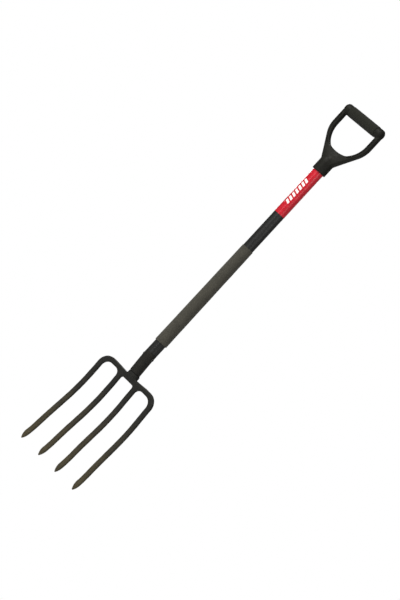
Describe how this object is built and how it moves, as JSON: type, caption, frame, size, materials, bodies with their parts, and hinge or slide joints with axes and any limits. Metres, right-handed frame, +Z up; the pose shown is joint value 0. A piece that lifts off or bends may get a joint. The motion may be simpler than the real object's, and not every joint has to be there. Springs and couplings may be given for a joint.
{
  "type": "digging fork",
  "caption": "Hand digging fork: forged tined head on a fibreglass shaft with a foam cushion sleeve and a moulded D-grip.",
  "frame": {"origin": "the point the fork hangs by: underside of the D-grip's bar, on the shaft's axis", "axes": "+Z up along the shaft towards the D-grip, -Y towards the side the tines bend to, X across the head and along the D-grip's bar"},
  "size_m": [0.206, 0.0416, 1.0952],
  "materials": {
    "head_steel": "satin black enamel, worn brown towards the tips",
    "ferrule_steel": "matte black, slightly rough",
    "fibreglass": "glossy black",
    "plug_wood": "plain hardwood",
    "foam": "fine closed-cell foam",
    "label": "gloss red with plain white bars",
    "grip_plastic": "fine matte moulded texture",
    "grip_soft": "soft matte",
    "pin_steel": "black"
  },
  "bodies": {
    "root": {"fork_head": "head_steel", "ferrule": "ferrule_steel", "ferrule_rivet": "ferrule_steel", "shaft": "fibreglass", "tang_plug": "plug_wood", "grip_plug": "plug_wood", "cushion_grip": "foam", "label_wrap": "label", "d_grip": "grip_plastic", "grip_sleeve": "grip_soft", "grip_pin": "pin_steel"}
  },
  "joints": []
}
